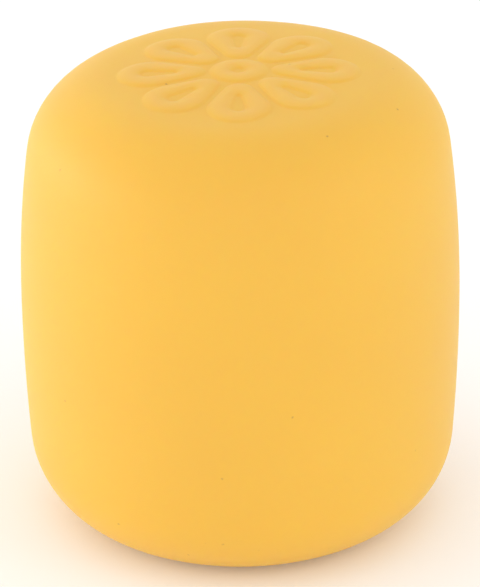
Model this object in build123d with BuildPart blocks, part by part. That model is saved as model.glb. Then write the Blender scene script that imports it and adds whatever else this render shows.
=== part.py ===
"""Squeeze toy: a palm-sized stress ball in the shape of an upright, softly rounded barrel.

A thick moulded rubber skin holds one soft mass of dough. The dough goes in through a port in the base,
which a rubber plug closes for good, bonded by a ring of glue. A raised rosette stands on the crown.

Units are millimetres, +Z is up, and the origin is the centre of the flat base.
"""

from build123d import *
from math import atan2, degrees, hypot, sqrt
import os

# --- Skin, outside -----------------------------------------------------------------------------------
body_diameter = 64.0  # across the belly, the widest circle
body_height = 69.0  # flat base to the top of the crown, without the rosette
belly_height = 34.9  # height of the belly
crown_radius = 300.0  # almost flat dome on top
shoulder_radius = 12.4  # rounding between the crown and the side
upper_side_radius = 172.0  # slow bulge of the side above the belly
lower_side_radius = 306.0  # slower bulge of the side below it
heel_radius = 13.5  # rounding between the side and the flat base
wall = 3.0  # thickness of the skin, the same all over

# --- Rosette moulded on the crown --------------------------------------------------------------------
relief_height = 0.35  # how far the rosette stands above the crown
relief_fillet = 0.2  # rounding of its upper edges
petal_count = 8
petal_tip_radius = 4.2  # round outer end of a petal
petal_tip_distance = 12.8  # from the toy's axis to the centre of that end
petal_root_radius = 1.8  # round inner end
petal_root_distance = 6.9
dimple_tip_radius = 1.3  # outer end of the hollow in a petal
dimple_tip_distance = 13.0
dimple_root_radius = 0.7  # inner end of that hollow
dimple_root_distance = 9.2
hub_radius = 3.8  # round pad in the middle
hub_dimple_radius = 1.2

# --- Filler port in the base -------------------------------------------------------------------------
port_diameter = 9.0
collar_wall = 3.5  # thickness of the tube that stands up inside the skin round the port
collar_height = 5.0  # above the inside of the base
seat_depth = 1.6  # shallow seat for the plug's head, sunk in the outside of the base

# --- Plug, and the glue that bonds it ----------------------------------------------------------------
stem_clearance = 0.05  # between the stem and the port, on the radius
head_overhang = 2.5  # how far the head reaches past the port, on the radius
plug_sink = 0.3  # the head stays this far above the flat base
head_fillet = 0.3  # rounding of the head's outer edge
glue_film = 0.2  # glue between the head and the floor of its seat
glue_margin = 0.5  # glue between the rim of the head and the wall of its seat
bulb_swell = 1.2  # how far the swelling reaches past the port, on the radius
bulb_height = 3.6
bulb_round = 2.4  # rounding of its leading edge, which lets it through the port
bulb_gap = 0.05  # between the swelling and the inside end of the port

# --- Dough -------------------------------------------------------------------------------------------
oil_film = 0.05  # between the dough and the side of the skin, the collar and the plug
headspace = 1.0  # depth of the pocket of air left under the crown

# --- Worked out from the values above ----------------------------------------------------------------
port_radius = port_diameter / 2
stem_radius = port_radius - stem_clearance
head_radius = port_radius + head_overhang
seat_radius = head_radius + glue_margin
head_top = seat_depth - glue_film
glue_bottom = plug_sink + head_fillet
collar_radius = port_radius + collar_wall
collar_top = wall + collar_height
bulb_radius = port_radius + bulb_swell
bulb_bottom = collar_top + bulb_gap
dough_top = body_height - wall - headspace

# The outline is five arcs, each tangent to the next. A centre is (distance from the axis, height).
crown_centre = (0, body_height - crown_radius)
upper_side_centre = (body_diameter / 2 - upper_side_radius, belly_height)
lower_side_centre = (body_diameter / 2 - lower_side_radius, belly_height)
heel_reach = sqrt((lower_side_radius - heel_radius) ** 2 - (belly_height - heel_radius) ** 2)
heel_centre = (lower_side_centre[0] + heel_reach, heel_radius)


def find_shoulder_centre():
    """The centre of the arc that touches both the crown's arc and the upper side's arc from inside.

    It is one of the two points that are crown_radius - shoulder_radius from the crown's centre and
    upper_side_radius - shoulder_radius from the upper side's centre.
    """
    span_x = upper_side_centre[0] - crown_centre[0]
    span_z = upper_side_centre[1] - crown_centre[1]
    span = hypot(span_x, span_z)
    from_crown = crown_radius - shoulder_radius
    from_side = upper_side_radius - shoulder_radius
    along = (from_crown**2 - from_side**2 + span**2) / (2 * span)
    across = sqrt(from_crown**2 - along**2)
    return (
        crown_centre[0] + (along * span_x + across * span_z) / span,
        crown_centre[1] + (along * span_z - across * span_x) / span,
    )


def bearing(start, end):
    """The angle in degrees of the line from start to end, above the horizontal."""
    return degrees(atan2(end[1] - start[1], end[0] - start[0]))


shoulder_centre = find_shoulder_centre()
crown_end = bearing(crown_centre, shoulder_centre)
upper_side_end = bearing(upper_side_centre, shoulder_centre)
lower_side_start = bearing(lower_side_centre, heel_centre)


def half_body(inset):
    """Half of the body's upright section, inset millimetres inside its outer surface."""
    with BuildSketch(Plane.XZ, mode=Mode.PRIVATE) as section:
        with BuildLine():
            Line((0, body_height - inset), (0, inset))
            Line((0, inset), (heel_centre[0], inset))
            CenterArc(heel_centre, heel_radius - inset, -90, lower_side_start + 90)
            CenterArc(lower_side_centre, lower_side_radius - inset, lower_side_start, -lower_side_start)
            CenterArc(upper_side_centre, upper_side_radius - inset, 0, upper_side_end)
            CenterArc(shoulder_centre, shoulder_radius - inset, upper_side_end, crown_end - upper_side_end)
            CenterArc(crown_centre, crown_radius - inset, crown_end, 90 - crown_end)
        make_face()
    return section.sketch


def teardrop(tip_radius, tip_distance, root_radius, root_distance):
    """The hull round a large circle and a small one that stand at two distances along +X."""
    with BuildSketch(mode=Mode.PRIVATE) as outline:
        with Locations((tip_distance, 0)):
            Circle(tip_radius)
        with Locations((root_distance, 0)):
            Circle(root_radius)
        make_hull()
    return outline.sketch


def half_bulb(grow):
    """Half of the upright section of the plug's swelling, made larger all round by grow."""
    with BuildSketch(Plane.XZ, mode=Mode.PRIVATE) as section:
        with Locations((0, bulb_bottom - grow)):
            Rectangle(bulb_radius + grow, bulb_height + 2 * grow, align=Align.MIN)
        top_corner = section.vertices().group_by(Axis.X)[-1].sort_by(Axis.Y)[-1]
        fillet(top_corner, bulb_round + grow)
    return section.sketch


petal = teardrop(petal_tip_radius, petal_tip_distance, petal_root_radius, petal_root_distance)
dimple = teardrop(dimple_tip_radius, dimple_tip_distance, dimple_root_radius, dimple_root_distance)


# --- Rosette: petals and hub, standing through the crown and cut off a little above it ---------------
with BuildPart() as rosette:
    with BuildSketch(Plane.XY.offset(body_height - 2 * wall)):
        with PolarLocations(0, petal_count):
            add(petal)
            add(dimple, mode=Mode.SUBTRACT)
        Circle(hub_radius)
        Circle(hub_dimple_radius, mode=Mode.SUBTRACT)
    extrude(amount=3 * wall)
    with Locations((0, 0, crown_centre[1])):
        Sphere(crown_radius + relief_height, mode=Mode.INTERSECT)
    fillet(rosette.faces().filter_by(GeomType.SPHERE).edges(), relief_fillet)

# --- Skin: one moulding, with the rosette on its crown and the port in its base ----------------------
with BuildPart() as skin:
    revolve(half_body(0), axis=Axis.Z)
    add(rosette.part)
    revolve(half_body(wall), axis=Axis.Z, mode=Mode.SUBTRACT)
    with BuildSketch():
        Circle(collar_radius)
    extrude(amount=collar_top)
    with Locations(Location((0, 0, 0), (180, 0, 0))):
        CounterBoreHole(port_radius, seat_radius, seat_depth, collar_top)
skin.part.label = "skin"

# --- Plug: head, stem, and the swelling that keeps it in ---------------------------------------------
with BuildPart() as filler_plug:
    with BuildSketch(Plane.XY.offset(plug_sink)):
        Circle(head_radius)
    extrude(amount=head_top - plug_sink)
    fillet(filler_plug.edges().group_by(Axis.Z)[0], head_fillet)
    with BuildSketch(Plane.XY.offset(head_top)):
        Circle(stem_radius)
    extrude(amount=bulb_bottom - head_top)
    revolve(half_bulb(0), axis=Axis.Z)
filler_plug.part.label = "filler_plug"

# --- Glue: a film over the plug's head, turned down round the rim of the head ------------------------
with BuildPart() as plug_glue:
    with BuildSketch(Plane.XY.offset(glue_bottom)):
        Circle(seat_radius)
    extrude(amount=seat_depth - glue_bottom)
    with Locations(Location((0, 0, glue_bottom), (180, 0, 0))):
        CounterBoreHole(port_radius, head_radius, head_top - glue_bottom, seat_depth)
plug_glue.part.label = "plug_glue"

# --- Dough: fills the skin up to the pocket of air, and closes round the collar and the plug ---------
with BuildPart() as dough_filling:
    revolve(half_body(wall + oil_film), axis=Axis.Z)
    with BuildSketch(Plane.XY.offset(wall)):
        Circle(heel_centre[0])
    extrude(amount=collar_height)
    with BuildSketch(Plane.XY.offset(wall)):
        Circle(collar_radius + oil_film)
    extrude(amount=collar_height + oil_film, mode=Mode.SUBTRACT)
    revolve(half_bulb(oil_film), axis=Axis.Z, mode=Mode.SUBTRACT)
    split(bisect_by=Plane.XY.offset(dough_top), keep=Keep.BOTTOM)
dough_filling.part.label = "dough_filling"

# --- One STEP file for each piece --------------------------------------------------------------------
os.makedirs("parts", exist_ok=True)
for piece in (skin, filler_plug, plug_glue, dough_filling):
    export_step(piece.part, f"parts/{piece.part.label}.step")
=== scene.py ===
"""Looks of the squeeze toy: its moulded rubber skin, the dough inside, and the glued plug in the base.

Every piece is a surface of revolution about the upright axis, worked out on a grid of rings and
columns, with the relief, the unevenness and the flaws of the real thing added as moves of its points.
Lengths are in metres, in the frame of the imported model.
"""

from math import atan2, cos, degrees, hypot, pi, radians, sin, sqrt

import bpy
import numpy as np
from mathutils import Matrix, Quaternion, Vector


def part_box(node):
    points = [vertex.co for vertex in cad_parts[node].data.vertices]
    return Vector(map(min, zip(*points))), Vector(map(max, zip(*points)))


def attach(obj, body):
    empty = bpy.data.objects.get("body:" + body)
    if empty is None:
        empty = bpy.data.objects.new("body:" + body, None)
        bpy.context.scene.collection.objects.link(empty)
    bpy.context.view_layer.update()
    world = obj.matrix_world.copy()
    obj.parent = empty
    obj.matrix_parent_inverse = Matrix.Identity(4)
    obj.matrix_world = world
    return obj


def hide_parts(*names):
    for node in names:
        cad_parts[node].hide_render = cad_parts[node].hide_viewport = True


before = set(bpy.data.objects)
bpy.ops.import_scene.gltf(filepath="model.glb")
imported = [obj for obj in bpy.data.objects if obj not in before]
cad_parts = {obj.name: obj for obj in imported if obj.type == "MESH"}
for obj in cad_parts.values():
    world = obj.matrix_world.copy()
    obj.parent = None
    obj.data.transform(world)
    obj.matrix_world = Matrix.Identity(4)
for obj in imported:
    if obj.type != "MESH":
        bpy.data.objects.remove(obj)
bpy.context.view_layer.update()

MM = 0.001

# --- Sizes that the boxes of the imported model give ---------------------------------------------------
_, skin_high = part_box("skin")
plug_low, plug_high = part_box("filler_plug")
glue_low, glue_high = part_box("plug_glue")
dough_low, dough_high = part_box("dough_filling")

relief_height = 0.35 * MM  # of the rosette above the crown
body_radius = skin_high.x
body_height = skin_high.z - relief_height
wall = dough_low.z
seat_radius = glue_high.x
seat_depth = glue_high.z
head_radius = plug_high.x
glue_bottom = glue_low.z
bulb_top = plug_high.z
dough_top = dough_high.z

# --- Outline of the body: five arcs, each tangent to the next ----------------------------------------
belly_height = 34.9 * MM
crown_radius = 300.0 * MM
shoulder_radius = 12.4 * MM
upper_side_radius = 172.0 * MM
lower_side_radius = 306.0 * MM
heel_radius = 13.5 * MM

crown_centre = np.array([0, body_height - crown_radius])
upper_side_centre = np.array([body_radius - upper_side_radius, belly_height])
lower_side_centre = np.array([body_radius - lower_side_radius, belly_height])
heel_reach = sqrt((lower_side_radius - heel_radius) ** 2 - (belly_height - heel_radius) ** 2)
heel_centre = np.array([lower_side_centre[0] + heel_reach, heel_radius])

# --- Port, plug and dough ----------------------------------------------------------------------------
port_radius = 4.5 * MM
stem_clearance = 0.05 * MM
stem_radius = port_radius - stem_clearance
collar_radius = 8.0 * MM
collar_height = 5.0 * MM  # above the inside of the base
collar_top = wall + collar_height
edge_round = 0.35 * MM  # rounding of the moulded edges at the port, the seat and the collar
glue_film = 0.2 * MM  # between the head and the floor of its seat
head_top = seat_depth - glue_film
bulb_swell = 1.2 * MM  # how far the swelling reaches past the port
bulb_radius = port_radius + bulb_swell
bulb_gap = 0.05 * MM  # between the swelling and the collar
bulb_bottom = collar_top + bulb_gap
bulb_round = 2.4 * MM
oil_film = 0.05 * MM

# --- Lean of the crown, and the columns of each grid -------------------------------------------------
crown_lean = 0.021  # rise of the crown for each unit to the right
skin_columns = 432  # round the toy, fine enough for the strokes of the rosette
dough_columns = 256
plug_columns = 192
glue_columns = 256

# --- Rosette -----------------------------------------------------------------------------------------
petal_count = 8
petal_tip, petal_tip_radius = 12.8 * MM, 4.2 * MM
petal_root, petal_root_radius = 6.9 * MM, 1.8 * MM
dimple_tip, dimple_tip_radius = 13.0 * MM, 1.3 * MM
dimple_root, dimple_root_radius = 9.2 * MM, 0.7 * MM
hub_radius = 3.8 * MM
hub_dimple_radius = 1.2 * MM
stroke_round = 1.3 * MM  # how far in from its edge a stroke of the rosette keeps rising
stroke_foot = 0.6 * MM  # how far out from its edge its foot runs into the crown
# Painted shade: the ground this close to a stroke is coloured a deeper orange.
painted_shade_reach = 2.4 * MM  # how far from a stroke the ground still looks deeper in colour
rosette_edge = petal_tip + petal_tip_radius


# --- Shapes ------------------------------------------------------------------------------------------
def find_shoulder_centre():
    """The centre of the arc that touches the crown's arc and the upper side's arc from inside.

    It is where two circles meet: the one about the crown's centre with radius crown less shoulder, and
    the one about the upper side's centre with radius upper side less shoulder.
    """
    span = upper_side_centre - crown_centre
    length = hypot(*span)
    from_crown = crown_radius - shoulder_radius
    from_side = upper_side_radius - shoulder_radius
    along = (from_crown**2 - from_side**2 + length**2) / (2 * length)
    across = sqrt(from_crown**2 - along**2)
    return crown_centre + (along * span + across * np.array([span[1], -span[0]])) / length


def bearing(start, end):
    """The angle in degrees of the line from start to end, above the horizontal."""
    return degrees(atan2(end[1] - start[1], end[0] - start[0]))


shoulder_centre = find_shoulder_centre()
crown_end = bearing(crown_centre, shoulder_centre)
upper_side_end = bearing(upper_side_centre, shoulder_centre)
lower_side_start = bearing(lower_side_centre, heel_centre)


def arc(centre, radius, start, end, step):
    """Points on a circle's arc between two angles in degrees, spaced by about step."""
    count = max(2, round(abs(radians(end - start)) * radius / step)) + 1
    angle = np.radians(np.linspace(start, end, count))
    return np.stack([centre[0] + radius * np.cos(angle), centre[1] + radius * np.sin(angle)], axis=1)


def line(start, end, step):
    """Points on a straight stretch between two points, spaced by about step."""
    count = max(1, round(hypot(end[0] - start[0], end[1] - start[1]) / step)) + 1
    return np.linspace(start, end, count)


def section(*stretches):
    """Several stretches joined into one line of points, with the doubled points at the joints dropped."""
    points = np.concatenate(stretches)
    moved = np.hypot(*np.diff(points, axis=0).T) > 1e-3 * MM
    return points[np.concatenate([[True], moved])]


def body_section(inset, crown_step, step):
    """The body's outline from the top of the axis to the edge of the flat base, inset inside its skin."""
    return section(
        arc(crown_centre, crown_radius - inset, 90, crown_end, crown_step),
        side_section(inset, crown_end, step),
    )


def side_section(inset, shoulder_start, step):
    """The body's outline from a bearing on the shoulder down to the edge of the flat base."""
    return section(
        arc(shoulder_centre, shoulder_radius - inset, shoulder_start, upper_side_end, step),
        arc(upper_side_centre, upper_side_radius - inset, upper_side_end, 0, 1.5 * step),
        arc(lower_side_centre, lower_side_radius - inset, 0, lower_side_start, 1.5 * step),
        arc(heel_centre, heel_radius - inset, lower_side_start, -90, step),
    )


def revolved(outline, columns):
    """A grid of points: row i, column j is (r cos a, r sin a, z), with a = 2 pi j / columns."""
    angle = 2 * pi * np.arange(columns) / columns
    radius, height = outline[:, :1], outline[:, 1:]
    return np.stack([radius * np.cos(angle), radius * np.sin(angle), height + 0 * angle], axis=2)


def outward(outline):
    """The outward direction at each point of an outline that goes down it with the solid on the axis side.

    It is the direction from one neighbour to the other, turned a quarter turn away from the axis.
    """
    along = np.gradient(outline, axis=0)
    return np.stack([-along[:, 1], along[:, 0]], axis=1) / np.hypot(*along.T)[:, None]


def surface(name, grid, closed=False, **values):
    """A mesh from a grid of points that is closed round its columns: four neighbours make a face.

    A closed grid also joins its last row to its first. Any other has its first and last rows on the
    axis, where each becomes one point with a fan of triangles. Each keyword is a grid of numbers that
    the mesh keeps for the piece's material.
    """
    rows, columns = grid.shape[:2]
    index = np.arange(rows * columns).reshape(rows, columns)
    near = np.vstack([index, index[:1]]) if closed else index[1:-1]
    far = np.roll(near, -1, axis=1)
    squares = np.stack([near[:-1], near[1:], far[1:], far[:-1]], axis=2).reshape(-1, 4)
    kept = np.ones(rows * columns, bool)
    fans = np.empty((0, 3), int)
    if not closed:
        kept[1:columns] = kept[-columns + 1 :] = False
        upper_fan = np.stack([near[0], far[0], np.full(columns, index[0, 0])], axis=1)
        lower_fan = np.stack([far[-1], near[-1], np.full(columns, index[-1, 0])], axis=1)
        fans = np.vstack([upper_fan, lower_fan])
    renumbered = np.cumsum(kept) - 1
    mesh = bpy.data.meshes.new(name)
    faces = renumbered[squares].tolist() + renumbered[fans].tolist()
    mesh.from_pydata(grid.reshape(-1, 3)[kept], [], faces)
    mesh.shade_smooth()
    for value_name, numbers in values.items():
        mesh.attributes.new(value_name, "FLOAT", "POINT").data.foreach_set("value", numbers.ravel()[kept])
    piece = bpy.data.objects.new(name, mesh)
    bpy.context.scene.collection.objects.link(piece)
    return piece


def smooth_step(value):
    """0 below 0, 1 above 1, and the cubic 3 v^2 - 2 v^3 between them."""
    value = np.clip(value, 0, 1)
    return value * value * (3 - 2 * value)


def teardrop_distance(along, across, root, root_radius, tip, tip_radius):
    """How far points are outside the hull of two circles on one ray, and below zero inside it.

    The hull's straight edge leans by the angle whose sine is the difference of the radii over the
    distance of the centres. A point belongs to the root's circle, the edge or the tip's circle, by how
    far along the edge it stands.
    """
    length = tip - root
    lean = (tip_radius - root_radius) / length
    upright = sqrt(1 - lean**2)
    forward, side = along - root, np.abs(across)
    along_edge = forward * upright + side * lean
    from_edge = side * upright - forward * lean - root_radius
    from_root = np.hypot(forward, side) - root_radius
    from_tip = np.hypot(forward - length, side) - tip_radius
    return np.where(along_edge < 0, from_root, np.where(along_edge > length * upright, from_tip, from_edge))


def rosette_depth(x, y):
    """How deep a place on the crown is inside a stroke of the rosette; below zero, how far outside.

    The plane is folded into one ray's sector. A petal is its teardrop less its dimple, and the hub is a
    disc less a smaller one, so the depth is the larger of two smaller-ofs.
    """
    distance = np.hypot(x, y)
    sector = 2 * pi / petal_count
    angle = (np.arctan2(y, x) + sector / 2) % sector - sector / 2
    along, across = distance * np.cos(angle), distance * np.sin(angle)
    petal = teardrop_distance(along, across, petal_root, petal_root_radius, petal_tip, petal_tip_radius)
    dimple = teardrop_distance(along, across, dimple_root, dimple_root_radius, dimple_tip, dimple_tip_radius)
    in_petal = np.minimum(-petal, dimple)
    in_hub = np.minimum(hub_radius - distance, distance - hub_dimple_radius)
    return np.maximum(in_petal, in_hub)


def unevenness(angle, height, seed, waves):
    """A gentle waviness of about one in size: a sum of waves round the toy and up it, from a seed."""
    draw = np.random.default_rng(seed)
    total = 0 * angle * height
    for around in range(1, waves + 1):
        turn, shift = draw.uniform(0, 2 * pi, 2)
        up = draw.uniform(0.5, 2.5)
        round_it = np.cos(around * angle + turn)
        up_it = np.cos(2 * pi * up * height / body_height + shift)
        total = total + round_it * up_it / around
    return total


# --- Materials ---------------------------------------------------------------------------------------
def paint(hex_colour):
    """The linear RGBA of an sRGB hex colour: ((c + 0.055) / 1.055) ^ 2.4, or c / 12.92 when dark."""
    parts = [int(hex_colour[i : i + 2], 16) / 255 for i in (1, 3, 5)]
    linear = [((c + 0.055) / 1.055) ** 2.4 if c > 0.04045 else c / 12.92 for c in parts]
    return (*linear, 1.0)


def add_node(tree, kind, inputs, **settings):
    """Adds a node, gives it its settings, and fills its inputs with values or with other nodes' outputs."""
    made = tree.nodes.new(kind)
    for setting, value in settings.items():
        setattr(made, setting, value)
    for key, value in inputs.items():
        if isinstance(value, bpy.types.NodeSocket):
            tree.links.new(value, made.inputs[key])
        else:
            made.inputs[key].default_value = value
    return made


def new_tree(name):
    """A new material and its empty node tree."""
    material = bpy.data.materials.new(name)
    material.use_nodes = True
    material.node_tree.nodes.clear()
    return material, material.node_tree


def per_mm(size_in_mm):
    """The scale of a texture whose cells or waves are this many millimetres long."""
    return 1 / (size_in_mm * MM)


def skin_rubber():
    """Soft TPR, a thermoplastic rubber, moulded in a matt-blasted tool and lightly dusted.

    The light goes a little way in and comes out warmer, the surface shines softly, a trace of powder
    keeps its flanks pale, and the tacky rubber picks up specks of dust. The raised strokes of the
    rosette are painted paler, as a painted sheen, and the narrow ground between them is painted a
    deeper orange, as painted shade.
    """
    material, tree = new_tree("soft_yellow_rubber")
    place = add_node(tree, "ShaderNodeTexCoord", {}).outputs["Object"]
    cloud = {"Vector": place, "Scale": per_mm(24), "Detail": 2.0}
    clouds = add_node(tree, "ShaderNodeTexNoise", cloud).outputs[0]
    colours = {0: clouds, 6: paint("#E8B43D"), 7: paint("#ECBA41")}
    cloudy = add_node(tree, "ShaderNodeMix", colours, data_type="RGBA").outputs[2]

    # Painted sheen: the raised strokes are mixed halfway towards a paler colour, standing in for a soft
    # highlight.
    relief = add_node(tree, "ShaderNodeAttribute", {}, attribute_name="relief").outputs["Fac"]
    painted_sheen_amount = add_node(tree, "ShaderNodeMath", {0: relief, 1: 0.5}, operation="MULTIPLY").outputs[0]
    colours = {0: painted_sheen_amount, 6: cloudy, 7: paint("#E9B650")}
    with_painted_sheen = add_node(tree, "ShaderNodeMix", colours, data_type="RGBA").outputs[2]

    # Painted shade: the narrow ground beside the strokes is mixed halfway towards a deeper orange.
    groove = add_node(tree, "ShaderNodeAttribute", {}, attribute_name="groove").outputs["Fac"]
    painted_shade_amount = add_node(tree, "ShaderNodeMath", {0: groove, 1: 0.5}, operation="MULTIPLY").outputs[0]
    colours = {0: painted_shade_amount, 6: with_painted_sheen, 7: paint("#EBB234")}
    with_painted_shade = add_node(tree, "ShaderNodeMix", colours, data_type="RGBA").outputs[2]

    # Dust: feature points 2.5 mm apart, about one in twelve kept, with ragged specks 0.3 mm across.
    bent = add_node(tree, "ShaderNodeTexNoise", {"Vector": place, "Scale": per_mm(0.3)}).outputs["Color"]
    sway = add_node(tree, "ShaderNodeVectorMath", {0: bent, "Scale": 0.3 * MM}, operation="SCALE").outputs[0]
    strewn = add_node(tree, "ShaderNodeVectorMath", {0: place, 1: sway}, operation="ADD").outputs[0]
    cells = add_node(tree, "ShaderNodeTexVoronoi", {"Vector": strewn, "Scale": per_mm(2.5)})
    speck = {0: cells.outputs["Distance"], 1: 0.03, 2: 0.1, 3: 1.0, 4: 0.0}
    near = add_node(tree, "ShaderNodeMapRange", speck).outputs[0]
    drawn = add_node(tree, "ShaderNodeSeparateColor", {0: cells.outputs["Color"]}).outputs[0]
    kept = add_node(tree, "ShaderNodeMath", {0: drawn, 1: 0.92}, operation="GREATER_THAN").outputs[0]
    dust = add_node(tree, "ShaderNodeMath", {0: near, 1: kept}, operation="MULTIPLY").outputs[0]
    colours = {0: dust, 6: with_painted_shade, 7: paint("#C48F3E")}
    dusty = add_node(tree, "ShaderNodeMix", colours, data_type="RGBA").outputs[2]

    gloss = add_node(tree, "ShaderNodeMapRange", {0: clouds, 1: 0.3, 2: 0.7, 3: 0.53, 4: 0.61}).outputs[0]
    # A blasted tool leaves grain of about 0.1 mm, which is drawn at 0.5 mm so that it shows.
    blast = {"Vector": place, "Scale": per_mm(0.5), "Detail": 2.0}
    grain = add_node(tree, "ShaderNodeTexNoise", blast).outputs[0]
    blasted = add_node(tree, "ShaderNodeBump", {"Height": grain, "Distance": 0.01 * MM}).outputs[0]
    look = {"Base Color": dusty, "Roughness": gloss, "Normal": blasted, "IOR": 1.5, "Sheen Weight": 0.06}
    depth = {"Subsurface Weight": 0.6, "Subsurface Radius": (1.0, 0.5, 0.12), "Subsurface Scale": 2.0 * MM}
    shader = add_node(tree, "ShaderNodeBsdfPrincipled", {**look, **depth})
    add_node(tree, "ShaderNodeOutputMaterial", {"Surface": shader.outputs[0]})
    return material


def plug_rubber():
    """The same rubber with less colour in it, moulded smooth: milky, and a little glossier."""
    material, tree = new_tree("milky_rubber")
    place = add_node(tree, "ShaderNodeTexCoord", {}).outputs["Object"]
    streak = {"Vector": place, "Scale": per_mm(4), "Detail": 3.0}
    flow = add_node(tree, "ShaderNodeTexNoise", streak).outputs[0]
    colours = {0: flow, 6: paint("#EFD9A6"), 7: paint("#F4E3BC")}
    swirl = add_node(tree, "ShaderNodeMix", colours, data_type="RGBA").outputs[2]
    gloss = add_node(tree, "ShaderNodeMapRange", {0: flow, 1: 0.3, 2: 0.7, 3: 0.34, 4: 0.42}).outputs[0]
    # The fine marks of a smooth tool, drawn at 0.4 mm so that they show.
    grain = add_node(tree, "ShaderNodeTexNoise", {"Vector": place, "Scale": per_mm(0.4)}).outputs[0]
    bump = add_node(tree, "ShaderNodeBump", {"Height": grain, "Distance": 0.01 * MM}).outputs[0]
    look = {"Base Color": swirl, "Roughness": gloss, "Normal": bump, "IOR": 1.5}
    depth = {"Subsurface Weight": 0.4, "Subsurface Radius": (1.0, 0.7, 0.4), "Subsurface Scale": 1.0 * MM}
    shader = add_node(tree, "ShaderNodeBsdfPrincipled", {**look, **depth})
    add_node(tree, "ShaderNodeOutputMaterial", {"Surface": shader.outputs[0]})
    return material


def clear_glue():
    """Cured cyanoacrylate: hard, glossy and almost clear, with a yellow cast and fine white bloom."""
    material, tree = new_tree("cured_glue")
    place = add_node(tree, "ShaderNodeTexCoord", {}).outputs["Object"]
    frost = {"Vector": place, "Scale": per_mm(1.2), "Detail": 4.0}
    bloom = add_node(tree, "ShaderNodeTexNoise", frost).outputs[0]
    colours = {0: bloom, 6: paint("#E6CE98"), 7: paint("#F4EAD0")}
    cast = add_node(tree, "ShaderNodeMix", colours, data_type="RGBA").outputs[2]
    haze = add_node(tree, "ShaderNodeMapRange", {0: bloom, 1: 0.4, 2: 0.7, 3: 0.12, 4: 0.4}).outputs[0]
    look = {"Base Color": cast, "Roughness": haze, "IOR": 1.48, "Transmission Weight": 0.2}
    shader = add_node(tree, "ShaderNodeBsdfPrincipled", look)
    add_node(tree, "ShaderNodeOutputMaterial", {"Surface": shader.outputs[0]})
    return material


def starch_dough():
    """Starch and water gel, kneaded: cream-coloured, dense, damp, with paler streaks and small lumps."""
    material, tree = new_tree("damp_dough")
    place = add_node(tree, "ShaderNodeTexCoord", {}).outputs["Object"]
    kneading = {"Vector": place, "Scale": per_mm(9), "Detail": 4.0, "Distortion": 1.2}
    streaks = add_node(tree, "ShaderNodeTexNoise", kneading).outputs[0]
    colours = {0: streaks, 6: paint("#E6D2A4"), 7: paint("#F3E7CB")}
    kneaded = add_node(tree, "ShaderNodeMix", colours, data_type="RGBA").outputs[2]
    damp = add_node(tree, "ShaderNodeMapRange", {0: streaks, 1: 0.3, 2: 0.7, 3: 0.35, 4: 0.6}).outputs[0]
    lump = {"Vector": place, "Scale": per_mm(1.5), "Detail": 3.0}
    lumps = add_node(tree, "ShaderNodeTexNoise", lump).outputs[0]
    bump = add_node(tree, "ShaderNodeBump", {"Height": lumps, "Distance": 0.06 * MM}).outputs[0]
    look = {"Base Color": kneaded, "Roughness": damp, "Normal": bump, "IOR": 1.4}
    depth = {"Subsurface Weight": 0.5, "Subsurface Radius": (1.0, 0.8, 0.5), "Subsurface Scale": 2.0 * MM}
    shader = add_node(tree, "ShaderNodeBsdfPrincipled", {**look, **depth})
    add_node(tree, "ShaderNodeOutputMaterial", {"Surface": shader.outputs[0]})
    return material


def opal_acrylic():
    """White opal acrylic, lit a little from below as a product table is, with faint clouds in its white."""
    material, tree = new_tree("opal_acrylic")
    place = add_node(tree, "ShaderNodeTexCoord", {}).outputs["Object"]
    cloud = {"Vector": place, "Scale": per_mm(60), "Detail": 3.0}
    clouds = add_node(tree, "ShaderNodeTexNoise", cloud).outputs[0]
    colours = {0: clouds, 6: paint("#F7F7F7"), 7: paint("#F9F9F9")}
    white = add_node(tree, "ShaderNodeMix", colours, data_type="RGBA").outputs[2]
    look = {"Base Color": white, "Roughness": 0.9, "Emission Strength": 0.06}
    shader = add_node(tree, "ShaderNodeBsdfPrincipled", look)
    add_node(tree, "ShaderNodeOutputMaterial", {"Surface": shader.outputs[0]})
    return material


# --- Pieces ------------------------------------------------------------------------------------------
def finish_piece(piece, material, node):
    """Gives a piece its material, and puts it in its CAD node's place on the toy's one body."""
    piece.data.materials.append(material)
    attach(piece, "root")
    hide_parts(node)
    return piece


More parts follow.
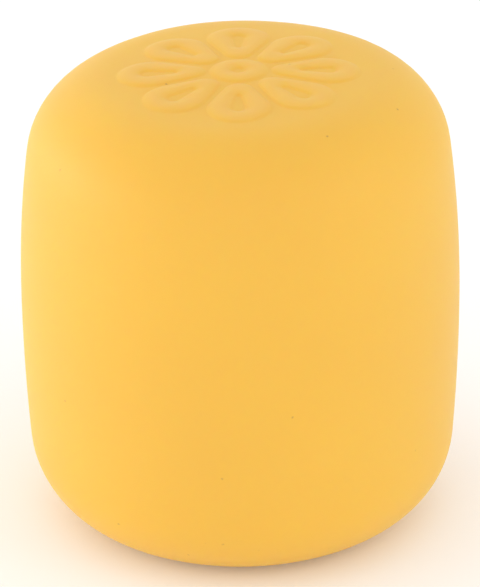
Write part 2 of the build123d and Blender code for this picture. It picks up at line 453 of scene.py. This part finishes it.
def make_skin():
    """The skin as one closed shell: down the outside, in through the port, and up the inside."""
    outside = body_section(0, 0.25 * MM, 1.1 * MM)
    port = section(
        line(outside[-1], (seat_radius + edge_round, 0), 1.6 * MM),
        arc((seat_radius + edge_round, edge_round), edge_round, -90, -180, 0.18 * MM),
        line((seat_radius, edge_round), (seat_radius, seat_depth), 0.6 * MM),
        line((seat_radius, seat_depth), (port_radius + edge_round, seat_depth), 1.0 * MM),
        arc((port_radius + edge_round, seat_depth + edge_round), edge_round, -90, -180, 0.2 * MM),
        line((port_radius, seat_depth + edge_round), (port_radius, collar_top - edge_round), 1.6 * MM),
        arc((port_radius + edge_round, collar_top - edge_round), edge_round, 180, 90, 0.2 * MM),
        line((port_radius + edge_round, collar_top), (collar_radius - edge_round, collar_top), 1.0 * MM),
        arc((collar_radius - edge_round, collar_top - edge_round), edge_round, 90, 0, 0.2 * MM),
        line((collar_radius, collar_top - edge_round), (collar_radius, wall), 1.6 * MM),
    )
    inside = body_section(wall, 2.4 * MM, 1.4 * MM)[::-1]
    outline = section(outside, port, line((collar_radius, wall), inside[0], 2.2 * MM), inside)
    grid = revolved(outline, skin_columns)
    x, y, z = np.moveaxis(grid, 2, 0)
    distance, angle = np.hypot(x, y), np.arctan2(y, x)
    is_outside = (np.arange(len(outline)) < len(outside))[:, None]

    # The filled skin is never quite round, and its crown leans a little to one side. Both moves fade out
    # towards the flat base, and the first one towards the middle of the crown.
    sway = 0.10 * MM * unevenness(angle, z, seed=126, waves=6)
    sway = sway * smooth_step(z / (8 * MM)) * smooth_step(distance / rosette_edge)
    lean = crown_lean * x * smooth_step((z - belly_height) / (body_height - belly_height))

    # A stroke of the rosette rises from a soft foot, as a parabola that flattens stroke_round further in.
    depth = rosette_depth(x, y)
    rise = np.clip((depth + stroke_foot) / (stroke_round + stroke_foot), 0, 1)
    on_crown = is_outside & (z > body_height / 2)
    relief = np.where(on_crown, (1 - (1 - rise) ** 2) * smooth_step(3 * rise), 0)

    lift = np.where(is_outside, sway, 0) + relief_height * relief
    out = outward(outline)
    grid += lift[:, :, None] * revolved(out, skin_columns)
    grid[:, :, 2] += np.where(is_outside, lean, 0)

    # The narrow ground is what lies close to a stroke, within the rosette. The skin's material
    # paints shade there, a deeper orange.
    inner = smooth_step((rosette_edge - distance) / painted_shade_reach)
    groove = np.where(on_crown, smooth_step(1 + depth / painted_shade_reach) * (1 - relief) * inner, 0)
    skin = surface("rubber_skin", grid, relief=relief, groove=groove)
    return finish_piece(skin, skin_rubber(), "skin")


def make_dough():
    """The dough: a closed mass that fills the skin, with a hollow round the collar and the plug."""
    inset = wall + oil_film
    rise = dough_top - shoulder_centre[1]
    edge_x = shoulder_centre[0] + sqrt((shoulder_radius - inset) ** 2 - rise**2)
    edge_bearing = bearing(shoulder_centre, (edge_x, dough_top))
    gap_radius, gap_top, gap_round = bulb_radius + oil_film, bulb_top + oil_film, bulb_round + oil_film
    hole_radius, hole_top = collar_radius + oil_film, collar_top + oil_film
    side = side_section(inset, edge_bearing, 1.0 * MM)
    outline = section(
        line((0, dough_top), (edge_x, dough_top), 0.4 * MM),
        side,
        line((side[-1, 0], wall), (hole_radius, wall), 1.5 * MM),
        line((hole_radius, wall), (hole_radius, hole_top), 1.0 * MM),
        line((hole_radius, hole_top), (gap_radius, hole_top), 0.6 * MM),
        line((gap_radius, hole_top), (gap_radius, gap_top - gap_round), 0.6 * MM),
        arc((gap_radius - gap_round, gap_top - gap_round), gap_round, 0, 90, 0.4 * MM),
        line((gap_radius - gap_round, gap_top), (0, gap_top), 0.6 * MM),
    )
    grid = revolved(outline, dough_columns)
    x, y, z = np.moveaxis(grid, 2, 0)
    distance, angle = np.hypot(x, y), np.arctan2(y, x)

    # The free surface under the crown has slow waves, and small craters where bubbles of air rest.
    free = smooth_step((edge_x - distance) / (2 * MM)) * (z > dough_top - 0.01 * MM)
    waves = 0.15 * MM * unevenness(angle, 4 * distance, seed=3, waves=5) * smooth_step(distance / (6 * MM))
    draw = np.random.default_rng(11)
    crater_count = 40
    craters = 0 * x
    for _ in range(crater_count):
        reach, turn, size = draw.uniform(1, 19) * MM, draw.uniform(0, 2 * pi), draw.uniform(0.4, 1.3) * MM
        off = np.hypot(x - reach * cos(turn), y - reach * sin(turn)) / size
        craters = np.maximum(craters, 0.5 * size * np.exp(-(off**4)))
    grid[:, :, 2] += free * (waves - craters - 0.25 * MM)
    dough = surface("dough_mass", grid)
    return finish_piece(dough, starch_dough(), "dough_filling")


def make_plug():
    """The plug: a swollen leading end, a stem, and a head with a moulded ring and a gate mark."""
    head_bottom = plug_low.z
    head_round = 0.3 * MM
    ring_radius, ring_width, ring_depth = 4.6 * MM, 0.5 * MM, 0.18 * MM
    gate_radius, gate_depth = 0.9 * MM, 0.25 * MM
    outline = section(
        line((0, bulb_top), (bulb_radius - bulb_round, bulb_top), 0.7 * MM),
        arc((bulb_radius - bulb_round, bulb_top - bulb_round), bulb_round, 90, 0, 0.3 * MM),
        line((bulb_radius, bulb_top - bulb_round), (bulb_radius, bulb_bottom + edge_round), 0.5 * MM),
        arc((bulb_radius - edge_round, bulb_bottom + edge_round), edge_round, 0, -90, 0.15 * MM),
        line((bulb_radius - edge_round, bulb_bottom), (stem_radius, bulb_bottom), 0.4 * MM),
        line((stem_radius, bulb_bottom), (stem_radius, head_top), 0.8 * MM),
        line((stem_radius, head_top), (head_radius, head_top), 0.6 * MM),
        line((head_radius, head_top), (head_radius, head_bottom + head_round), 0.2 * MM),
        arc((head_radius - head_round, head_bottom + head_round), head_round, 0, -90, 0.08 * MM),
        line((head_radius - head_round, head_bottom), (0, head_bottom), 0.1 * MM),
    )
    grid = revolved(outline, plug_columns)
    distance = np.hypot(grid[:, :, 0], grid[:, :, 1])
    on_face = grid[:, :, 2] < head_bottom + 0.01 * MM
    groove = ring_depth * np.exp(-(((distance - ring_radius) / (ring_width / 2)) ** 2))
    gate = gate_depth * smooth_step((gate_radius - distance) / (0.4 * MM))
    grid[:, :, 2] += np.where(on_face, groove + gate, 0)
    return finish_piece(surface("filler_stopper", grid), plug_rubber(), "filler_plug")


def make_glue():
    """The glue: a film over the plug's head, and a bead round its rim whose face is unevenly hollow."""
    outline = section(
        line((port_radius, seat_depth), (seat_radius, seat_depth), 0.5 * MM),
        line((seat_radius, seat_depth), (seat_radius, glue_bottom), 0.2 * MM),
        line((seat_radius, glue_bottom), (head_radius, glue_bottom), 0.06 * MM),
        line((head_radius, glue_bottom), (head_radius, head_top), 0.2 * MM),
        line((head_radius, head_top), (port_radius, head_top), 0.5 * MM),
    )
    grid = revolved(outline, glue_columns)
    distance, angle = np.hypot(grid[:, :, 0], grid[:, :, 1]), np.arctan2(grid[:, :, 1], grid[:, :, 0])
    on_bead = grid[:, :, 2] < glue_bottom + 0.01 * MM
    across = (distance - (seat_radius + head_radius) / 2) / ((seat_radius - head_radius) / 2)
    hollow = (0.12 + 0.05 * unevenness(angle, 0, seed=9, waves=9)) * MM
    grid[:, :, 2] += np.where(on_bead, hollow * (1 - across**2), 0)
    return finish_piece(surface("glue_ring", grid, closed=True), clear_glue(), "plug_glue")


# --- Studio ------------------------------------------------------------------------------------------
def aimed(thing, place, target, roll=0.0):
    """Puts a camera or a light in place and turns it to face the target."""
    thing.location = place
    thing.rotation_mode = "QUATERNION"
    facing = (Vector(target) - Vector(place)).to_track_quat("-Z", "Y")
    thing.rotation_quaternion = facing @ Quaternion((0, 0, 1), roll)
    bpy.context.scene.collection.objects.link(thing)


def make_camera():
    """A long lens that looks down at the toy from its front."""
    elevation = radians(25.5)
    distance = 640 * MM
    up = Vector((0, sin(elevation), cos(elevation)))
    aside, below = -0.06 * MM, 1.0 * MM  # of the belly, where the lens points
    target = Vector((aside, 0, belly_height)) - below * up
    back = Vector((0, -cos(elevation), sin(elevation)))
    lens = bpy.data.cameras.new("camera")
    lens.lens = 268.8
    lens.sensor_width = 36
    camera = bpy.data.objects.new("camera", lens)
    aimed(camera, target + distance * back, target, roll=-0.0081)
    bpy.context.scene.camera = camera


def softbox(name, place, width, height, watts):
    """A wide, soft studio light that faces the middle of the toy."""
    light = bpy.data.lights.new(name, "AREA")
    light.shape = "RECTANGLE"
    light.size, light.size_y = width, height
    light.energy = watts
    aimed(bpy.data.objects.new(name, light), place, (0, 0, body_height / 2))


def make_studio():
    """A white table under the toy, a white room round it, and softboxes to its left, right and front."""
    half = 4.0  # of the table's side
    mesh = bpy.data.meshes.new("floor")
    corners = [(-half, -half, 0), (half, -half, 0), (half, half, 0), (-half, half, 0)]
    mesh.from_pydata(corners, [], [(0, 1, 2, 3)])
    mesh.materials.append(opal_acrylic())
    floor = bpy.data.objects.new("floor", mesh)
    bpy.context.scene.collection.objects.link(floor)

    world = bpy.data.worlds.new("white_room")
    world.use_nodes = True
    world.node_tree.nodes["Background"].inputs["Color"].default_value = (1, 1, 1, 1)
    world.node_tree.nodes["Background"].inputs["Strength"].default_value = 0.95
    bpy.context.scene.world = world

    softbox("left_softbox", (-1.1, 0.15, 0.2), width=1.2, height=0.38, watts=5.0)
    softbox("right_softbox", (1.1, -0.45, 0.45), width=0.9, height=1.1, watts=2.2)
    softbox("front_softbox", (0, -1.2, 0.5), width=0.9, height=1.1, watts=1.5)
    bpy.context.scene.view_settings.view_transform = "Standard"


make_camera()
make_studio()
make_skin()
make_dough()
make_plug()
make_glue()
